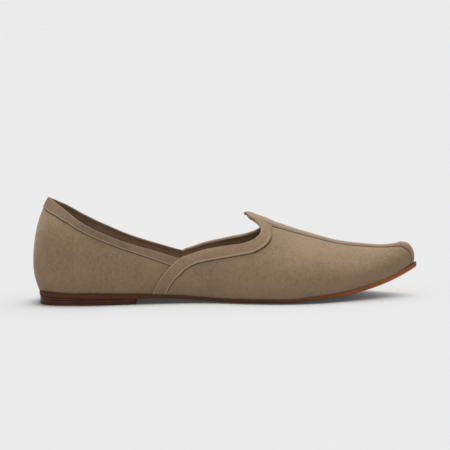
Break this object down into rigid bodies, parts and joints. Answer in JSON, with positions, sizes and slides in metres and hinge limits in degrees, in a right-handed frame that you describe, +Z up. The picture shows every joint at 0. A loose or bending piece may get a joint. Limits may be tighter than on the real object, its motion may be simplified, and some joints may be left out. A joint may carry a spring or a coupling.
{
  "type": "pointed leather slip-on shoe",
  "caption": "Pointed suede slip-on with a curled throat, a raised band round its collar, a centre strip over the toe, a thin leather sole and a low heel.",
  "frame": {"origin": "middle of the bounding box in plan, on the ground plane that the heel and the forefoot stand on", "axes": "+X towards the toe, +Y to the wearer's left, +Z up; the shoe is symmetrical about the plane y = 0"},
  "size_m": [0.2897, 0.0938, 0.0796],
  "materials": {
    "suede": "taupe suede with a short nap",
    "band_suede": "taupe suede, cut edges turned under",
    "sole_leather": "smooth brown sole leather, waxed edge",
    "stacked_leather": "dark stained stacked leather",
    "top_piece_leather": "dark leather, dull underneath",
    "sock_leather": "smooth brown lining leather"
  },
  "bodies": {
    "root": {"upper": "suede", "vamp_facing_left": "band_suede", "vamp_facing_right": "band_suede", "quarter_facing": "band_suede", "centre_strip": "band_suede", "outsole": "sole_leather", "heel_lift": "stacked_leather", "heel_top_piece": "top_piece_leather", "insole": "sock_leather"}
  },
  "joints": []
}
